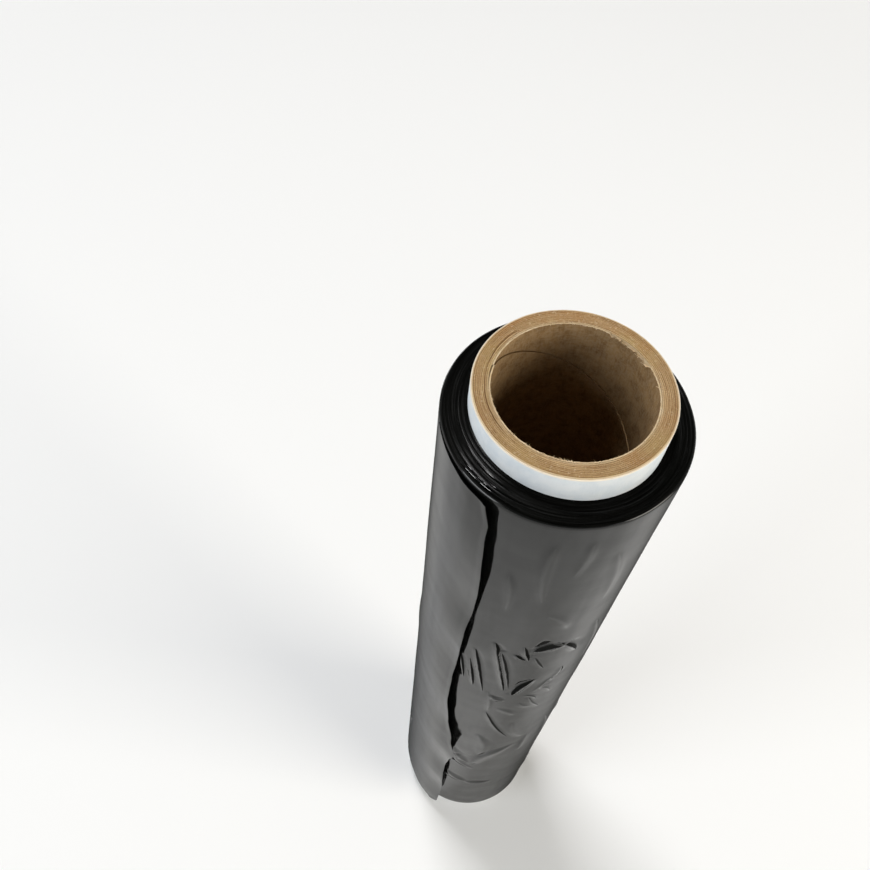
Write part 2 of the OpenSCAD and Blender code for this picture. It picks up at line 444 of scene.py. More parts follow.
# Paper: blotches of longer and shorter fibres, and a fine felted height
def makePaperGroup():
    g, given, out = newTree("paperFibres", "ShaderNodeTree", [
        ("Vector", direction), ("Blotch Size", number, 0.006), ("Fibre Size", number, 0.0006),
        ("Stretch", number, 3.0)], [("Blotch", number), ("Fibre", number), ("Height", number)])
    blotch = g.noise(g.vector("DIVIDE", given["Vector"], given["Blotch Size"]), 4.0, 0.6, 2.0)
    thin = given["Fibre Size"]
    long = g.times(thin, given["Stretch"])
    laid = g.vector("DIVIDE", given["Vector"], g.combine(long, thin, thin))
    upright = g.vector("DIVIDE", given["Vector"], g.combine(thin, thin, long))
    fibre = g.times(g.plus(g.noise(laid, 3.0, 0.65, 5.0), g.noise(upright, 3.0, 0.65, 9.0)), 0.5)
    g.feed(out["Blotch"], g.fit(blotch, 0.35, 0.65))
    g.feed(out["Fibre"], g.fit(fibre, 0.4, 0.6))
    g.feed(out["Height"], g.plus(g.times(blotch, 0.4), fibre))
    return g.tree


# Turns about the Z axis: a random tone for each turn, the line between two
# turns, and streaks that follow the turns for part of the way round
def makeTurnsGroup():
    g, given, out = newTree("woundTurns", "ShaderNodeTree", [
        ("Vector", direction), ("Inner Radius", number, 0.03), ("Pitch", number, 0.0005),
        ("Waver", number, 0.1), ("Seed", number)],
        [("Tone", number), ("Line", number), ("Streak", number)])
    flat = g.flat(given["Vector"])
    around = g.vector("NORMALIZE", flat)
    wander = g.noise(g.scaled(around, 3.0), 3.0, 0.5, given["Seed"])
    wander = g.times(g.minus(wander, 0.5), given["Waver"])
    count = g.over(g.minus(g.vector("LENGTH", flat), given["Inner Radius"]), given["Pitch"])
    count = g.plus(count, wander)
    tone = g.add("ShaderNodeTexWhiteNoise", {"W": g.plus(g.maths("FLOOR", count), given["Seed"])},
                 noise_dimensions="1D").outputs["Value"]
    along = g.vector("ADD", g.scaled(around, 2.2), g.combine(0.0, 0.0, g.times(count, 1.7)))
    g.feed(out["Tone"], tone)
    g.feed(out["Line"], g.fit(g.apart(g.maths("FRACT", count), 0.5), 0.38, 0.5))
    g.feed(out["Streak"], g.fit(g.noise(along, 3.0, 0.6, given["Seed"]), 0.4, 0.65))
    return g.tree


# Handling marks: faint scuffs and dust that dull a glossy surface
def makeScuffGroup():
    g, given, out = newTree("handlingMarks", "ShaderNodeTree", [
        ("Vector", direction), ("Scuff Size", number, 0.004), ("Stretch", number, 8.0)],
        [("Scuff", number), ("Dust", number), ("Height", number)])
    size = given["Scuff Size"]
    long = g.combine(size, size, g.times(size, given["Stretch"]))
    scuff = g.noise(g.vector("DIVIDE", given["Vector"], long), 4.0, 0.6, 3.0)
    fine = g.scaled(g.vector("DIVIDE", given["Vector"], size), 4.0)
    dust = g.noise(fine, 5.0, 0.75, 32.0)
    g.feed(out["Scuff"], g.fit(scuff, 0.42, 0.7))
    g.feed(out["Dust"], g.fit(dust, 0.56, 0.74))
    g.feed(out["Height"], scuff)
    return g.tree


paperGroup = makePaperGroup()
turnsGroup = makeTurnsGroup()
scuffGroup = makeScuffGroup()


def newMaterial(name, **settings):
    material = bpy.data.materials.new(name)
    material.use_nodes = True
    g = Graph(material.node_tree)
    shader = material.node_tree.nodes["Principled BSDF"]
    for word, value in settings.items():
        shader.inputs[socketName(word)].default_value = value
    spot = g.add("ShaderNodeTexCoord").outputs["Object"]
    return material, g, shader.inputs, spot


def grouped(g, tree, spot, **values):
    node = g.add("ShaderNodeGroup", node_tree=tree)
    g.feed(node.inputs["Vector"], spot)
    for word, value in values.items():
        g.feed(node.inputs[socketName(word)], value)
    return node.outputs


def bump(g, height, distance, strength):
    feeds = {"Height": height, "Distance": distance, "Strength": strength}
    return g.add("ShaderNodeBump", feeds).outputs[0]


def coloured(material, g, shader, colour, height, distance, strength):
    g.feed(shader["Base Color"], colour)
    g.feed(shader["Normal"], bump(g, height, distance, strength))
    return material


kraftLook = {
    "wall": (0.29, 0.178, 0.078, 1),
    "wallDark": (0.185, 0.104, 0.040, 1),
    "wallGrey": (0.38, 0.285, 0.175, 1),
    # the seam's painted shade
    "seam": (0.12, 0.068, 0.027, 1),
    "cut": (0.40, 0.245, 0.108, 1),
    "cutPale": (0.57, 0.40, 0.215, 1),
    "cutDark": (0.19, 0.082, 0.028, 1),
    "cutYellow": (0.47, 0.33, 0.13, 1),
    "cutOrange": (0.38, 0.19, 0.065, 1),
    "torn": (0.66, 0.52, 0.34, 1),
    "plyEdge": (0.58, 0.43, 0.25, 1),
    "crackRadius": boreRadius + 1.8 * mm,  # where plies have come apart in places
    "seamPaintedShadeTo": -12 * mm,  # across the bore, where the seam still has its full painted shade
    "seamPaintedLitFrom": 2 * mm,  # and where its painted highlight is full
}


def kraftWall():
    material, g, shader, spot = newMaterial("kraftWall", Roughness=0.82, SpecularIORLevel=0.2)
    paper = grouped(g, paperGroup, spot, BlotchSize=5 * mm, FibreSize=0.7 * mm, Stretch=4.0)
    colour = g.blend(paper["Blotch"], kraftLook["wallDark"], kraftLook["wall"])
    colour = g.blend(g.times(paper["Fibre"], 0.4), colour, kraftLook["wallGrey"])
    return coloured(material, g, shader, colour, paper["Height"], 0.3 * mm, 0.6)


def seamEdge():  # the strip's own edges, with a painted highlight on one side of the bore and painted shade on the other
    material, g, shader, spot = newMaterial("seamEdge", Roughness=0.85, SpecularIORLevel=0.1)
    paper = grouped(g, paperGroup, spot, BlotchSize=3 * mm, FibreSize=0.7 * mm, Stretch=2.0)
    patchy = g.fit(g.noise(g.scaled(spot, 60.0), 2.0, 0.5, 7.0), 0.35, 0.65, 0.6, 1.0)
    # Painted highlight and shade: paler towards one side of the bore, darker towards the other
    paintedLitSide = g.times(patchy, g.fit(g.split(spot)[0], kraftLook["seamPaintedShadeTo"], kraftLook["seamPaintedLitFrom"]))
    colour = g.blend(paintedLitSide, kraftLook["seam"], kraftLook["cutPale"])
    colour = g.blend(g.times(paper["Fibre"], 0.12), colour, kraftLook["wall"])
    return coloured(material, g, shader, colour, paper["Height"], 0.3 * mm, 0.6)


def kraftCut():
    material, g, shader, spot = newMaterial("kraftCut", Roughness=0.9, SpecularIORLevel=0.12)
    plies = grouped(g, turnsGroup, spot, InnerRadius=boreRadius, Pitch=winding["plyThickness"],
                    Waver=0.9, Seed=4.0)
    paper = grouped(g, paperGroup, spot, BlotchSize=3.5 * mm, FibreSize=0.4 * mm, Stretch=2.0)
    radius = g.vector("LENGTH", g.flat(spot))

    def patches(scale, detail, rough, seed, low, high, most=1.0):
        return g.fit(g.noise(g.scaled(spot, scale), detail, rough, seed), low, high, 0.0, most)

    wander = g.minus(g.noise(g.scaled(spot, 90.0), 2.0, 0.6, 6.0), 0.5)
    away = g.apart(g.plus(radius, g.times(wander, 0.9 * mm)), kraftLook["crackRadius"])
    crack = g.times(g.fit(away, 0.06 * mm, 0.28 * mm, 1.0, 0.0), patches(28.0, 1.0, 0.5, 3.0, 0.46, 0.60))
    tints = [  # each lies over those before it
        (g.fit(radius, boreRadius + 0.7 * mm, boreRadius + 1.4 * mm, 0.85, 0.0), "torn"),
        (g.times(plies["Streak"], 0.8), "cutDark"),
        (g.times(plies["Line"], g.maths("MULTIPLY_ADD", plies["Streak"], 0.7, 0.3)), "cutDark"),
        (g.times(paper["Blotch"], 0.4), "cut"),
        (patches(45.0, 2.0, 0.5, 12.0, 0.45, 0.65, 0.5), "cutYellow"),
        (patches(75.0, 3.0, 0.6, 21.0, 0.48, 0.66, 0.6), "cutOrange"),
        (g.times(paper["Fibre"], 0.45), "cutPale"),
        (g.fit(radius, coreRadius - 0.4 * mm, coreRadius - 0.15 * mm, 0.0, 0.8), "torn"),
        (patches(1100.0, 2.0, 0.6, 3.0, 0.58, 0.68, 0.5), "torn"),
        (g.times(crack, 0.85), "cutDark"),
    ]
    colour = g.blend(plies["Tone"], kraftLook["cut"], kraftLook["cutPale"])
    for mask, tint in tints:
        colour = g.blend(mask, colour, kraftLook[tint])
    return coloured(material, g, shader, colour, g.minus(paper["Height"], crack), 0.4 * mm, 0.8)


def palePly():  # the pale edge of the innermost ply, and torn fibres
    material, g, shader, spot = newMaterial("palePly", Roughness=0.9, SpecularIORLevel=0.12)
    paper = grouped(g, paperGroup, spot, BlotchSize=2 * mm, FibreSize=0.4 * mm, Stretch=2.0)
    colour = g.blend(paper["Blotch"], kraftLook["plyEdge"], kraftLook["torn"])
    return coloured(material, g, shader, colour, paper["Height"], 0.3 * mm, 0.8)


coverLook = {
    "white": (0.60, 0.65, 0.69, 1),
    "bright": (0.69, 0.72, 0.735, 1),
    "cutEdge": (0.84, 0.76, 0.63, 1),
    "edgeFrom": coverHigh.z - 0.8 * mm,
    "edgeTo": coverHigh.z - 0.3 * mm,
}


def coverPaper():  # white, and cream along its cut upper edge
    material, g, shader, spot = newMaterial("coverPaper", Roughness=0.5, SpecularIORLevel=0.35)
    paper = grouped(g, paperGroup, spot, BlotchSize=8 * mm, FibreSize=0.5 * mm, Stretch=5.0)
    colour = g.blend(paper["Blotch"], coverLook["white"], coverLook["bright"])
    edge = g.fit(g.split(spot)[2], coverLook["edgeFrom"], coverLook["edgeTo"])
    colour = g.blend(edge, colour, coverLook["cutEdge"])
    g.feed(shader["Roughness"], g.fit(paper["Fibre"], 0.0, 1.0, 0.45, 0.6, "LINEAR"))
    wrinkle = g.noise(g.vector("DIVIDE", spot, (0.012, 0.012, 0.003)), 3.0, 0.5, 4.0)
    return coloured(material, g, shader, colour, g.plus(wrinkle, paper["Height"]), 0.18 * mm, 0.5)


filmLook = {
    "coat": 0.68,
    "edgeOnCoat": 0.13,
    "foldMiddle": 0.40,  # where the painted shade on a fold's dark side lies, in half widths of the fold
    "foldHalf": 0.32,
    "crestPaintedHighlight": 0.42,  # painted highlight: how much glossier the crest beside it is
    "black": (0.0050, 0.0053, 0.0048, 1),
    "dusty": (0.05, 0.05, 0.047, 1),
    "endDark": (0.0012, 0.0012, 0.0010, 1),
    "endBlack": (0.0034, 0.0035, 0.0030, 1),
    "endDusty": (0.05, 0.05, 0.045, 1),
    "dust": 0.12,  # how strongly dust shows on it
}


def blackFilm():  # the smooth outer turn, whose gloss is all in its coat; shade along the folds and highlights on their crests are painted into that coat's weight
    material, g, shader, spot = newMaterial("blackFilm", SpecularIORLevel=0.0, CoatIOR=1.5,
                                            CoatRoughness=0.1)
    marks = grouped(g, scuffGroup, spot, ScuffSize=5 * mm, Stretch=7.0)
    across, near, dark = (g.add("ShaderNodeAttribute", attribute_name=name).outputs["Fac"]
                          for name in ("foldAcross", "foldNear", "foldDark"))
    ragged = g.minus(g.noise(g.scaled(spot, 200.0), 1.0, 0.5, 2.0), 0.5)
    across = g.plus(across, g.times(ragged, g.maths("MULTIPLY_ADD", dark, 0.25, 0.1)))
    reach = g.fit(near, 1.1, 1.4)
    off = g.over(g.minus(across, filmLook["foldMiddle"]), filmLook["foldHalf"])
    # Painted shade: a dark band along each fold's dark side, near the crease, taken out of the coat's
    # weight
    fold = g.times(g.fit(off, -1.0, -0.5), g.fit(off, -0.4, 2.0, 1.0, 0.0))
    fold = g.maths("MINIMUM", 1.0, g.times(fold, g.maths("MULTIPLY_ADD", dark, 0.8, 0.8)))
    coatUnderPaintedShadeAndScuffs = g.minus(1.0, g.times(fold, reach, dark, 0.95))
    coatUnderPaintedShadeAndScuffs = g.minus(coatUnderPaintedShadeAndScuffs, g.times(marks["Scuff"], 0.08))
    wide = g.maths("MULTIPLY_ADD", dark, -1.6, 2.3)  # a slight fold's painted crest highlight is broad
    # Painted highlight: extra coat along each fold's crest, beside its painted shade
    crest = g.fit(g.apart(off, -1.5), 0.0, wide, filmLook["crestPaintedHighlight"], 0.0)
    crest = g.times(crest, reach, g.maths("MULTIPLY_ADD", dark, 0.7, 0.3))
    outwards = g.vector("NORMALIZE", g.flat(spot))
    facing = g.add("ShaderNodeLayerWeight", {"Blend": 0.5, "Normal": outwards}).outputs["Facing"]
    coat = g.plus(g.fit(facing, 0.76, 0.96, filmLook["coat"], filmLook["edgeOnCoat"]), crest)
    colour = g.blend(g.times(marks["Dust"], filmLook["dust"]), filmLook["black"], filmLook["dusty"])
    g.feed(shader["Base Color"], colour)
    g.feed(shader["Coat Weight"], g.times(coat, coatUnderPaintedShadeAndScuffs))
    g.feed(shader["Roughness"], g.fit(marks["Scuff"], 0.0, 1.0, 0.22, 0.34, "LINEAR"))
    ripples = g.noise(g.vector("DIVIDE", spot, (0.024, 0.024, 0.016)), 1.0, 0.4, 6.0)
    bands = g.noise(g.vector("DIVIDE", spot, (0.15, 0.15, 0.004)), 2.0, 0.5, 1.0)
    normal = bump(g, g.plus(ripples, g.times(bands, 0.06)), 0.8 * mm, 0.4)
    g.feed(shader["Normal"], normal)
    g.feed(shader["Coat Normal"], normal)
    return material


def filmEdges():  # the wound ends, where only the film's edges show
    material, g, shader, spot = newMaterial("filmEdges", SpecularIORLevel=0.02, CoatRoughness=0.25)
    turns = grouped(g, turnsGroup, spot, InnerRadius=coverRadius, Pitch=0.45 * mm, Waver=0.8, Seed=7.0)
    marks = grouped(g, scuffGroup, spot, ScuffSize=3 * mm, Stretch=1.0)
    colour = g.blend(turns["Streak"], filmLook["endDark"], filmLook["endBlack"])
    colour = g.blend(g.times(marks["Dust"], filmLook["dust"]), colour, filmLook["endDusty"])
    g.feed(shader["Base Color"], colour)
    gloss = g.times(turns["Streak"], turns["Tone"])
    g.feed(shader["Coat Weight"], g.fit(gloss, 0.1, 0.9, 0.01, 0.30))
    g.feed(shader["Roughness"], g.fit(turns["Tone"], 0.0, 1.0, 0.30, 0.5, "LINEAR"))
    return material


kraftWallFinish = kraftWall()
seamEdgeFinish = seamEdge()
kraftCutFinish = kraftCut()
palePlyFinish = palePly()
coverPaperFinish = coverPaper()
blackFilmFinish = blackFilm()
filmEdgesFinish = filmEdges()
print("finishes made")


# Core tube: the plies outside the innermost one, with both sawn ends

coreTube = {
    "columns": 420,
    "lining": 0.46 * mm,  # thickness of the innermost ply that is made apart
    "glueLine": 0.09 * mm,
    "glueDepth": 0.38 * mm,
    "stepUp": 0.26 * mm,  # how far one ply may stand above the next
    "sawRise": 0.13 * mm,
    "sawPitch": 0.35 * mm,
    "wallRows": 10,
    "boreRows": 30,
    "tearRows": 5,
    "tearZone": 4 * mm,  # the tear in the innermost ply stays within this of the upper end
}


def plyEnd(seed):  # one sawn end: radius and height above the end, inwards to outwards
    plies = round((coreRadius - boreRadius) / winding["plyThickness"])
    points = []
    for ply in range(plies):
        low = boreRadius + ply * winding["plyThickness"]
        high = low + winding["plyThickness"]
        if ply == 0:
            low += coreTube["lining"]
        flush = ply >= plies - 2
        step = 0 if flush else -coreTube["stepUp"] * (0.5 + 0.5 * noise(Vector((ply * 3.7, seed, 0.5))))
        if ply:
            points.append((low, -coreTube["glueDepth"]))
        low += coreTube["glueLine"]
        last = high - (0 if ply == plies - 1 else coreTube["glueLine"])
        points += [(low + (last - low) * k / 3, step) for k in range(4)]
    return points


# The points of top and bottom are radius and height, or those with the weights
# of the ring, skin and lean marks
def turnedPiece(name, top, bottom, wallOut, wallIn, **values):
    rows, ring, skin, lean = [], [], [], []

    def put(points, ringMark, skinMark):
        for radius, height, *weight in points:
            rows.append((radius, 0, height))
            ringPart, skinPart, leanPart = weight or (1.0, skinMark, 0.0)
            ring.append(ringMark * ringPart)
            skin.append(skinPart)
            lean.append(leanPart)

    put(top, 1.0, 0.0)
    put(wallOut, 0.0, 1.0)
    put(bottom, -1.0, 0.0)
    put(wallIn, 0.0, 0.0)
    count = len(rows)
    edges = [(i, (i + 1) % count) for i in range(count)]
    piece = newPiece(name, rows, edges, ring=ring, skin=skin, lean=lean)
    addTree(piece, latheTree, FrontAngle=winding["frontAngle"], **values)
    return piece


def wallPoints(radius, high, low, rows):
    return [(radius, high + (low - high) * (k + 1) / (rows + 1)) for k in range(rows)]


def makeCoreTube():
    top = [(r, coreLength + z) for r, z in plyEnd(1.0)]
    bottom = [(r, coreTube["sawRise"] - z) for r, z in reversed(plyEnd(2.0))]
    inner = boreRadius + coreTube["lining"]
    tearFoot = coreLength - coreTube["tearZone"]
    wallIn = wallPoints(inner, 0, tearFoot, coreTube["boreRows"])
    wallIn += wallPoints(inner, tearFoot, coreLength, coreTube["tearRows"])
    wallOut = wallPoints(coreRadius, coreLength, 0, coreTube["wallRows"])
    piece = turnedPiece("coreTube", top, bottom, wallOut, wallIn, Columns=coreTube["columns"],
                        Crowding=0.0, TurnRise=coreTube["sawRise"], TurnPitch=coreTube["sawPitch"],
                        Waver=9.0, Seed=3.0, Material=kraftCutFinish)
    settle(piece)
    facesOut(piece)
    smoothBelow(piece, 35)
    piece.data.materials.append(kraftWallFinish)
    piece.data.materials.append(palePlyFinish)
    for face in piece.data.polygons:
        if abs(face.normal.z) < 0.3 and math.hypot(*face.center.xy) < inner + 0.1 * mm:
            underTear = face.center.z > tearFoot and tearAt(angleOf(face.center)) > 0
            face.material_index = 2 if underTear else 1
    isPart(piece, "kraft", "core_tube")


# Innermost ply: a strip wound edge to edge, torn along part of its upper edge

liningPly = {
    "gap": 0.4 * mm,
    "lip": 0.3 * mm,
    "topAngle": math.radians(166),
    "columnsATurn": 360.0,
    "rows": 22,
    "tearMiddle": math.radians(47),
    "tearHalf": math.radians(22),
    "tearDepth": 3.0 * mm,
    "nick": math.radians(31),  # deepest place of the tear
    "nickHalf": math.radians(6),
    "rag": 0.3 * mm,  # unevenness of the rest of the cut edge
    "ragReach": 9 * mm,  # the rows within this of the edge share it out
    "paleEdge": 0.8 * mm,  # how far a pale cut edge reaches below the upper end
    "paleFoot": 0.5 * mm,  # and above the lower one
}


def angleOf(place):
    return math.atan2(place.y, place.x)


def tearAt(angle):  # how far the paper has torn away below the cut end
    away = turnedFrom(angle, liningPly["tearMiddle"]) / liningPly["tearHalf"]
    if abs(away) > 1:
        return 0.0
    ragged = 0.6 + 1.0 * noise(Vector((angle * 9, 3.1, 0))) + 0.7 * noise(Vector((angle * 34, 1.7, 0)))
    deepest = math.exp(-(turnedFrom(angle, liningPly["nick"]) / liningPly["nickHalf"]) ** 2)
    return liningPly["tearDepth"] * (1 - away ** 4) * clamp(0.45 * ragged + 0.55 * deepest, 0.05, 1.0)


makeCoreTube()  # only here, because its colours follow the tear


def trimAbove(mesh, height, outer=True):
    everything = mesh.verts[:] + mesh.edges[:] + mesh.faces[:]
    bmesh.ops.bisect_plane(mesh, geom=everything, dist=1e-7, plane_co=(0, 0, height), plane_no=(0, 0, 1),
                           clear_outer=outer, clear_inner=not outer)


def makeStrip(name, radius, low, high, settings, finishUsed):
    piece = newPiece(name, [(0, 0, 0)])
    addTree(piece, stripTree, Radius=radius, Lead=winding["lead"], Gap=settings["gap"],
            Lip=settings["lip"], Length=high, TopAngle=settings["topAngle"],
            ColumnsATurn=settings["columnsATurn"], Rows=settings["rows"], Material=finishUsed)
    settle(piece)
    shapeMesh(piece, lambda mesh: (trimAbove(mesh, high), trimAbove(mesh, low, outer=False)))
    return piece


def makeLiningPly():
    piece = makeStrip("innermostPly", boreRadius, 0.05 * mm, coreLength, liningPly, kraftWallFinish)
    for point in piece.data.vertices:
        angle = angleOf(point.co)
        reach = tearAt(angle) + liningPly["rag"] * (0.5 + noise(Vector((angle * 60, 8.2, 0))))
        point.co.z -= reach * smoothStep(coreLength - liningPly["ragReach"], coreLength, point.co.z)
    thicken(piece, coreTube["lining"])
    piece.data.materials.append(palePlyFinish)
    piece.data.materials.append(seamEdgeFinish)
    for face in piece.data.polygons:
        edge = coreLength - tearAt(angleOf(face.center)) - liningPly["paleEdge"]
        atEnd = face.center.z > edge or face.center.z < liningPly["paleFoot"]
        if abs(face.normal.z) > 0.5:
            face.material_index = 1 if atEnd else 2
    smoothBelow(piece, 40)
    isPart(piece, "kraft", "core_tube")


makeLiningPly()


# White cover ply

coverPly = {
    "gap": 0.35 * mm,
    "lip": 0.0,
    "topAngle": math.radians(100),
    "columnsATurn": 300.0,
    "rows": 14,
    "rag": 0.12 * mm,
    "ragReach": 4 * mm,
}


def makeCoverPly():
    piece = makeStrip("coverPly", coreRadius, coverLow.z, coverHigh.z, coverPly, coverPaperFinish)
    for point in piece.data.vertices:
        rag = coverPly["rag"] * (0.5 + noise(Vector((angleOf(point.co) * 30, 4.2, 0))))
        point.co.z -= rag * smoothStep(coverHigh.z - coverPly["ragReach"], coverHigh.z, point.co.z)
    thicken(piece, coverRadius - coreRadius)
    smoothBelow(piece, 40)
    isPart(piece, "white_paper", "cover_ply")


makeCoverPly()


# Wound film

filmRoll = {
    "columns": 190,
    "crowding": 0.8,
    "rowParts": [(8, 60, 24), (60, 240, 190), (240, 318, 170), (318, 416, 56)],  # from, to in mm, rows
    "endRows": 30,
    "shoulderRows": 8,
    "shoulder": 1.8 * mm,
    "clear": 0.3 * mm,  # between the shoulder and the skin's first row
    "proud": 0.8 * mm,  # how far the turns next to the core stand above the rest
    "lean": 2.0 * mm,  # how far they rise towards leanAngle, and fall away from it
    "leanAngle": math.radians(183),
    "ridge": 0.30 * mm,
    "ridgePitch": 0.55 * mm,
    "band": 0.35 * mm,
    "sunk": 0.25 * mm,  # the ends' mean height below the film's full width
    "creaseHeight": 1.2 * mm,
    "creaseWidth": 6.0 * mm,
    "slack": 0.45 * mm,
    "slackSize": 0.022,
}

# Creases that show in the outer turn: from and to as (direction in degrees,
# height in mm), sideways bow in mm, size, where along it it is widest, and how
# deep it is, which sets how sharp its crest is and how dark the painted shade on its dark side is
seenCreases = [
    ((236.5, 286), (242, 259), 0, 0.62, 0.4, 1.0),
    ((243, 286), (249, 255), 0, 0.62, 0.6, 1.0),
    ((245, 298), (256, 252), 0, 0.65, 0.35, 1.0),
    ((255, 312), (268, 259), 0, 0.95, 0.35, 1.0),
    ((260, 303), (270.5, 262), 0.3, 0.6, 0.4, 0.9),
    ((267, 304), (276, 298), -0.4, 0.7, 0.5, 1.0),
    ((271, 313), (276, 298), -0.3, 0.7, 0.5, 1.0),
    ((279, 301), (287, 287), -0.4, 0.55, 0.4, 0.8),
    ((277, 308), (294, 312), 1.5, 1.7, 0.6, 0.9),
    ((291, 314), (305, 297), 0.8, 1.0, 0.5, 0.9),
    ((300.5, 281), (296.5, 267), 1.4, 0.6, 0.5, 0.9),
    ((297, 270), (288, 254), -0.3, 0.6, 0.4, 0.8),
    ((275, 253), (285, 274), 1.4, 1.1, 0.5, 1.0),
    ((286, 248), (298, 227), -0.8, 0.6, 0.4, 0.5),
    ((283, 252), (292, 243), 1.0, 0.5, 0.5, 0.5),
    ((262, 224), (283.5, 182), -1.2, 0.6, 0.4, 0.85),
    ((247, 147), (263, 123), -3.0, 1.3, 0.5, 0.12),
    ((264, 123), (292, 163), 3.5, 1.3, 0.4, 0.12),
    ((250, 136), (268, 112), -4.0, 0.8, 0.5, 0.06),
    ((247, 92), (266, 78), -2.5, 1.3, 0.5, 0.10),
    ((265, 77), (288, 78), -0.5, 1.0, 0.4, 0.06),
    ((262, 250), (271, 245), -1.7, 1.0, 0.5, 0.14),
    ((262, 184), (268, 146), 2.5, 1.2, 0.5, 0.04),
    ((283, 207), (296, 176), -2.0, 0.9, 0.5, 0.06),
    ((268, 232), (281, 222), 1.5, 0.7, 0.5, 0.08),
    ((281, 241), (291, 232), -1.0, 0.5, 0.5, 0.25),
    ((292, 259), (301, 247), 1.0, 0.5, 0.5, 0.30),
    ((259, 254), (263, 226), 0.8, 0.6, 0.5, 0.08),
    ((312, 322), (319, 271), 2, 0.9, 0.4, 0.25),
    ((326, 196), (339, 172), -3, 0.8, 0.5, 0.2),
    ((252, 372), (255, 345), 1.0, 0.7, 0.4, 0.06),
    ((268, 398), (271, 356), -1.5, 0.8, 0.4, 0.05),
    ((284, 401), (281, 377), 0.8, 0.6, 0.4, 0.06),
    ((300, 388), (306, 346), 2.0, 0.8, 0.4, 0.08),
    ((276, 345), (290, 330), 2.0, 0.8, 0.5, 0.05),
]

farCreases = {  # slight ones on the far side, mostly lengthwise, in degrees and mm
    "count": 16,
    "start": 300,
    "span": 290,
    "height": 212,
    "heightSpread": 260,
    "lean": 9,
    "reach": 14,
    "reachSpread": 26,
}


def creaseLines():
    points, edges, size, side, depth = [], [], [], [], []
    around = filmRadius * math.pi / 180
    far = farCreases

    def draw(p, q, bow, scale, widest=0.5, dark=0.5):
        span = Vector(((q[0] - p[0]) * around, (q[1] - p[1]) * mm))
        normal = Vector((-span.y, span.x)).normalized()
        steps = max(30, int(span.length / (0.4 * mm)))
        bend = math.log(0.5) / math.log(widest)
        for k in range(steps + 1):
            t = k / steps
            spot = Vector((p[0] * around, p[1] * mm)) + span * t
            spot += normal * bow * mm * math.sin(math.pi * t)
            angle = spot.x / filmRadius
            points.append(onCylinder(filmRadius, angle, spot.y))
            size.append(scale * (0.08 + 0.92 * math.sin(math.pi * t ** bend) ** 0.6))
            side.append(Vector((-math.sin(angle) * normal.x, math.cos(angle) * normal.x, normal.y)))
            depth.append(dark)
            if k:
                edges.append((len(points) - 2, len(points) - 1))

    for crease in seenCreases:
        draw(*crease)
    for k in range(far["count"]):
        place = (k + 0.5 * noise(Vector((k * 1.3, 0.2, 5)))) / far["count"]
        middle = far["start"] + far["span"] * place
        height = far["height"] + far["heightSpread"] * noise(Vector((k * 2.1, 7.7, 1)))
        lean = far["lean"] * noise(Vector((k * 0.9, 3.3, 2)))
        reach = far["reach"] + far["reachSpread"] * abs(noise(Vector((k * 1.7, 9.1, 4))))
        draw((middle - lean, height - reach), (middle + lean, height + reach), lean / 2, 0.9, 0.4, 0.1)
    return newPiece("creaseLines", points, edges, size=size, side=side, depth=depth)


def endHeight(part):  # of the wound end above the film's edge, 0 at the core and 1 at the shoulder
    return filmRoll["proud"] * (1 - part) ** 1.5 - filmRoll["sunk"]


def leanPart(part):
    return 1 - 0.75 * part


def filmEnd(leans):
    flat = filmRadius - filmRoll["shoulder"] - coverRadius
    points = []
    for k in range(filmRoll["endRows"]):
        t = k / filmRoll["endRows"]
        points.append((coverRadius + flat * t, endHeight(t), 1.0, 0.0, leans * leanPart(t)))
    for k in range(filmRoll["shoulderRows"]):
        fade = 1 - k / filmRoll["shoulderRows"]
        bend = math.pi / 2 * fade
        radius = filmRadius - filmRoll["shoulder"] * (1 - math.cos(bend))
        drop = filmRoll["shoulder"] * (math.sin(bend) - 1)
        points.append((radius, drop + endHeight(1) * fade, fade, 1 - fade, leans * leanPart(1) * fade))
    return points


def skinRows():
    rows = []
    for low, high, count in reversed(filmRoll["rowParts"]):
        rows += [(filmRadius, (high + (low - high) * (k + 0.5) / count) * mm) for k in range(count)]
    margin = filmRoll["shoulder"] + filmRoll["clear"]
    return [row for row in rows if filmBottom + margin < row[1] < filmTop - margin]


def makeFilmRoll():
    top = [(r, filmTop + z, *marks) for r, z, *marks in filmEnd(1.0)]
    bottom = [(r, filmBottom - z, *marks) for r, z, *marks in reversed(filmEnd(0.0))]
    wallIn = wallPoints(coverRadius, filmBottom, filmTop, 3)
    piece = turnedPiece("filmRoll", top, bottom, skinRows(), wallIn, Columns=filmRoll["columns"],
                        Crowding=filmRoll["crowding"], TurnRise=filmRoll["ridge"],
                        TurnPitch=filmRoll["ridgePitch"], Waver=0.7, BandRise=filmRoll["band"],
                        Lean=filmRoll["lean"], LeanAngle=filmRoll["leanAngle"], Seed=1.0,
                        Material=blackFilmFinish)
    lines = creaseLines()
    addTree(piece, creaseTree, Lines=lines, Height=filmRoll["creaseHeight"],
            Width=filmRoll["creaseWidth"], Slack=filmRoll["slack"], SlackSize=filmRoll["slackSize"],
            Seed=5.0, Material=blackFilmFinish)
    settle(piece)
    bpy.data.objects.remove(lines)
    facesOut(piece)
    smoothBelow(piece, 60)
    piece.data.materials.append(filmEdgesFinish)
    for face in piece.data.polygons:
        if math.hypot(*face.center.xy) < filmRadius - filmRoll["shoulder"] * 0.3:
            face.material_index = 1
    isPart(piece, "black_film", "film_roll")


makeFilmRoll()


# Loose outer turn, which stands off the roll along the cut tail edge

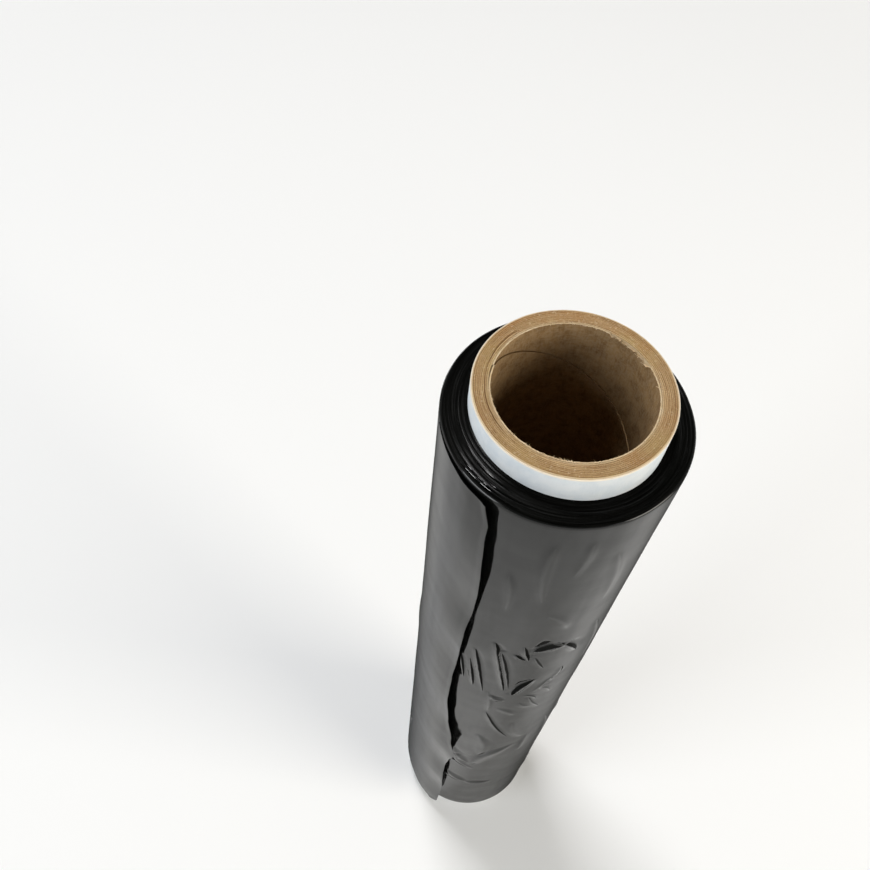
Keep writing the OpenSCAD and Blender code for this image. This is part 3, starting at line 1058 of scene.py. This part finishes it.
looseTurn = {
    "tail": math.radians(240),
    "reach": math.radians(50),
    "lift": 3.4 * mm,
    # The cut edge: height in mm, and degrees from the tail
    "edge": [(12, 0), (24, 7), (60, 8), (115, 6), (135, 8), (153, 11), (170, 6), (197, 0.5),
             (234, -2.4), (260, -3), (310, -1), (360, 1.5), (400, -1), (412, -5)],
    "inset": 1.5 * mm,
    "sunk": 0.2 * mm,  # how far its foot lies inside the roll
    "thickness": 0.25 * mm,
    "columns": 44,
    "rows": 260,
    "curl": 0.35 * mm,  # the cut edge turns outwards a little
    "lobe": 0.8 * mm,  # the edge swings in and out in lobes
    "lobeLength": 72 * mm,
    "ripple": 0.35 * mm,
    "jag": 0.35,  # of the cut edge, in degrees
}


def sheetFaces(rows, columns):
    faces = []
    for row in range(rows):
        for column in range(columns):
            a = row * (columns + 1) + column
            faces.append((a, a + 1, a + columns + 2, a + columns + 1))
    return faces


# Makes a thin piece of film, from a sheet of points in rows
def makeFilmSheet(name, points, faces, thickness):
    piece = newPiece(name, points, (), faces)
    piece.data.materials.append(blackFilmFinish)
    thicken(piece, thickness)
    smoothBelow(piece, 60)
    isPart(piece, "black_film", "film_roll")


def edgeAt(height):  # degrees from the tail's direction, at a height in mm
    for (low, first), (high, second) in zip(looseTurn["edge"], looseTurn["edge"][1:]):
        if height <= high:
            return first + (second - first) * smoothStep(low, high, height)
    return looseTurn["edge"][-1][1]


def makeLooseTurn():
    base = filmRadius - looseTurn["sunk"]
    edge = base + looseTurn["lift"]
    back = (edge ** 2 - base ** 2) / (2 * (base - edge * math.cos(looseTurn["reach"])))
    low, high = filmBottom + looseTurn["inset"], filmTop - looseTurn["inset"]
    points = []
    wide = looseTurn["columns"]
    for row in range(looseTurn["rows"] + 1):
        z = low + (high - low) * row / looseTurn["rows"]
        wander = math.radians(edgeAt(z / mm) + looseTurn["jag"] * noise(Vector((0.9, z * 70, 5))))
        swing = math.sin(turn * z / looseTurn["lobeLength"] + 2.5 * noise(Vector((z * 9, 2.2, 0))))
        for column in range(wide + 1):
            t = column / wide
            angle = (looseTurn["reach"] + wander) * t
            out = math.sqrt((base + back) ** 2 - (back * math.sin(angle)) ** 2) - back * math.cos(angle)
            out += looseTurn["lobe"] * swing * t ** 3
            out += looseTurn["ripple"] * noise(Vector((t * 3.5, z * 20, 6))) * smoothStep(0.3, 0.7, t)
            out += looseTurn["curl"] * smoothStep(0.93, 1.0, t)
            points.append(onCylinder(out, looseTurn["tail"] - looseTurn["reach"] + angle, z))
    makeFilmSheet("looseTurn", points, sheetFaces(looseTurn["rows"], wide), looseTurn["thickness"])


makeLooseTurn()


# Edges of turns that slipped up out of the wound end

slippedTurns = {
    "thickness": 0.09 * mm,
    "rows": 3,
    "sunk": 0.9 * mm,  # how far below the wound end each one starts
    "tall": 0.8 * mm,  # its height before it rises
    "splay": 0.12 * mm,  # outwards for each row
    "sway": 0.25 * mm,
    # Radius in mm, from and to in degrees, and rise in mm
    "edges": [(34.5, 218, 242, 0.8), (36.3, 224, 254, 0.6), (37.4, 208, 240, 0.9), (38.3, 214, 250, 1.1),
              (34.0, 296, 322, 0.6), (35.4, 262, 288, 0.45), (37.0, 300, 350, 0.5), (38.2, 268, 300, 0.5),
              (36.0, 20, 75, 0.6), (38.0, 95, 160, 0.7), (34.4, 165, 205, 0.5)],
}


def makeSlippedTurns():
    points, faces = [], []
    flat = filmRadius - filmRoll["shoulder"] - coverRadius
    rows = slippedTurns["rows"]
    for index, (radius, start, stop, rise) in enumerate(slippedTurns["edges"]):
        first = len(points)
        columns = int((stop - start) * 1.6)
        part = clamp((radius * mm - coverRadius) / flat)
        for row in range(rows + 1):
            for k in range(columns + 1):
                t = k / columns
                angle = math.radians(start + (stop - start) * t)
                sway = noise(Vector((angle * 7, index * 3.3, 0)))
                reach = rise * mm * math.sin(math.pi * t) ** 0.6 * (1 + 0.6 * sway)
                leaning = filmRoll["lean"] * leanPart(part) * math.cos(angle - filmRoll["leanAngle"])
                bottom = filmTop + endHeight(part) + leaning - slippedTurns["sunk"]
                out = radius * mm + slippedTurns["sway"] * sway + slippedTurns["splay"] * row
                height = (reach + slippedTurns["tall"]) * row / rows
                points.append(onCylinder(out, angle, bottom + height))
        faces += [tuple(i + first for i in face) for face in sheetFaces(rows, columns)]
    makeFilmSheet("slippedTurns", points, faces, slippedTurns["thickness"])


makeSlippedTurns()


# Fibres and burrs that the saw left on the bore's upper edge

burrs = {
    "count": 900,
    "length": 0.9 * mm,
    "thickness": 0.07 * mm,
    "inside": 0.1 * mm,  # how far their feet lie inside the paper
    # Direction and half width in degrees, and density there
    "places": [(88, 22, 0.55), (47, 22, 0.9), (-100, 8, 0.5), (-165, 14, 0.3)],
    "elsewhere": 0.08,
}


def makeBurrs():
    points, density = [], []
    steps = 720
    for k in range(steps):
        angle = turn * k / steps
        spread = burrs["elsewhere"]
        for middle, half, amount in burrs["places"]:
            away = turnedFrom(angle, math.radians(middle)) / math.radians(half)
            spread += amount * math.exp(-away * away)
        density.append(clamp(spread))
        height = coreLength - tearAt(angle) - burrs["inside"]
        points.append(onCylinder(boreRadius + burrs["inside"], angle, height))
    edges = [(k, (k + 1) % steps) for k in range(steps)]
    piece = newPiece("boreFibres", points, edges, density=density)
    addTree(piece, fibreTree, Count=burrs["count"], Length=burrs["length"],
            Thickness=burrs["thickness"], Seed=11, Material=palePlyFinish)
    settle(piece)
    facesOut(piece)
    isPart(piece, "kraft")


makeBurrs()


# Stage: a pale floor and soft studio light

stage = {
    "floor": (0.93, 0.93, 0.93, 1),
    "floorHalf": 4.0,
    "farGlow": 0.6,  # brightens the floor far from the roll, where it meets the background
    "glowFrom": 0.9,  # distances from the roll where that starts and is full
    "glowTo": 3.0,
    "roomFront": 0.44,  # the room's walls, before and behind the roll
    "roomSides": 1.10,  # and to its left and right, where the windows are
    "overhead": 0.03,  # the part of that brightness that is left straight up
    "windows": 1.6,  # in gloss, a bright window on each side
    "darkRoom": 0.07,  # and the room above the floor elsewhere
    "keyPower": 72.0,
    "keySize": 0.9,
    "keyPlace": (-0.77, 1.10, 3.76),
    "keyColor": (1.0, 1.0, 1.0),
    "rightPower": 64.0,
    "rightSize": 1.7,
    "rightPlace": (2.54, -0.98, 1.26),
    "rightColor": (1.0, 0.95, 0.84),
    "leftPower": 38.0,
    "leftSize": 1.6,
    "leftPlace": (-2.37, -1.37, 1.42),
    "leftColor": (0.93, 0.97, 1.0),
}


def makeFloor():
    half = stage["floorHalf"]
    corners = [(-half, -half, 0), (half, -half, 0), (half, half, 0), (-half, half, 0)]
    piece = newPiece("floor", corners, (), [(0, 1, 2, 3)])
    material, g, shader, spot = newMaterial("paleFloor", Roughness=0.9, SpecularIORLevel=0.0,
                                            EmissionStrength=1.0)
    g.feed(shader["Base Color"], stage["floor"])
    rays = g.add("ShaderNodeLightPath").outputs
    seen = g.maths("MAXIMUM", rays["Is Camera Ray"], rays["Is Glossy Ray"])
    far = g.fit(g.vector("LENGTH", spot), stage["glowFrom"], stage["glowTo"], 0.0, stage["farGlow"])
    glow = g.times(seen, far)
    g.feed(shader["Emission Color"], g.combine(glow, glow, glow))
    piece.data.materials.append(material)


def makeWorld():
    world = bpy.data.worlds.new("whiteRoom")
    bpy.context.scene.world = world
    world.use_nodes = True
    g = Graph(world.node_tree)
    world.node_tree.nodes.clear()
    rays = g.add("ShaderNodeLightPath").outputs
    look = g.split(g.add("ShaderNodeTexCoord").outputs["Generated"])
    aside = g.maths("ABSOLUTE", look[0])
    windows = g.times(g.fit(look[2], 0.12, 0.18), g.fit(look[2], 0.42, 0.50, 1.0, 0.0),
                      g.fit(aside, 0.55, 0.65), stage["windows"])
    gloss = g.maths("MAXIMUM", g.fit(look[2], -0.04, 0.28, 0.95, stage["darkRoom"]), windows)
    room = g.fit(aside, 0.0, 1.0, stage["roomFront"], stage["roomSides"], "LINEAR")
    room = g.times(room, g.fit(look[2], 0.2, 0.75, 1.0, stage["overhead"]))
    other = g.minus(1.0, rays["Is Glossy Ray"])
    mixed = g.plus(g.times(rays["Is Glossy Ray"], gloss), g.times(other, room))
    mixed = g.maths("MAXIMUM", mixed, rays["Is Camera Ray"])
    mixed = g.maths("MAXIMUM", mixed, rays["Is Transmission Ray"])
    background = g.add("ShaderNodeBackground", {"Color": (1, 1, 1, 1), "Strength": mixed})
    g.feed(g.add("ShaderNodeOutputWorld").inputs["Surface"], background.outputs[0])


def makeLight(name):
    light = bpy.data.lights.new(name + "Light", "AREA")
    light.energy = stage[name + "Power"]
    light.size = stage[name + "Size"]
    light.color = stage[name + "Color"]
    lamp = bpy.data.objects.new(name + "Light", light)
    lamp.location = stage[name + "Place"]
    lamp.rotation_mode = "QUATERNION"
    lamp.rotation_quaternion = (Vector((0, 0, coreLength)) - lamp.location).to_track_quat("-Z", "Y")
    bpy.context.scene.collection.objects.link(lamp)


makeFloor()
makeWorld()
makeLight("key")
makeLight("right")
makeLight("left")
print("stage made")


# Camera, placed by a fit to the rims of the core and the film in the photograph

photoCamera = {
    "place": (-0.0403, -0.1569, 0.6304),
    "below": math.radians(56.60),  # how far it looks below the horizon
    "roll": math.radians(5.17),
    "lens": 36.04,
    "sensor": 36.0,
}


def makeCamera():
    p, r = photoCamera["below"], photoCamera["roll"]
    across = Vector((math.cos(r), math.sin(r) * math.sin(p), math.sin(r) * math.cos(p)))
    upward = Vector((-math.sin(r), math.cos(r) * math.sin(p), math.cos(r) * math.cos(p)))
    back = Vector((0, -math.cos(p), math.sin(p)))
    camera = bpy.data.objects.new("photoCamera", bpy.data.cameras.new("photoCamera"))
    camera.data.lens = photoCamera["lens"]
    camera.data.sensor_width = photoCamera["sensor"]
    camera.data.clip_start = 0.01
    turned = Matrix((across, upward, back)).transposed().to_4x4()
    camera.matrix_world = Matrix.Translation(photoCamera["place"]) @ turned
    bpy.context.scene.collection.objects.link(camera)
    bpy.context.scene.camera = camera


makeCamera()
bpy.context.scene.view_settings.view_transform = "Standard"
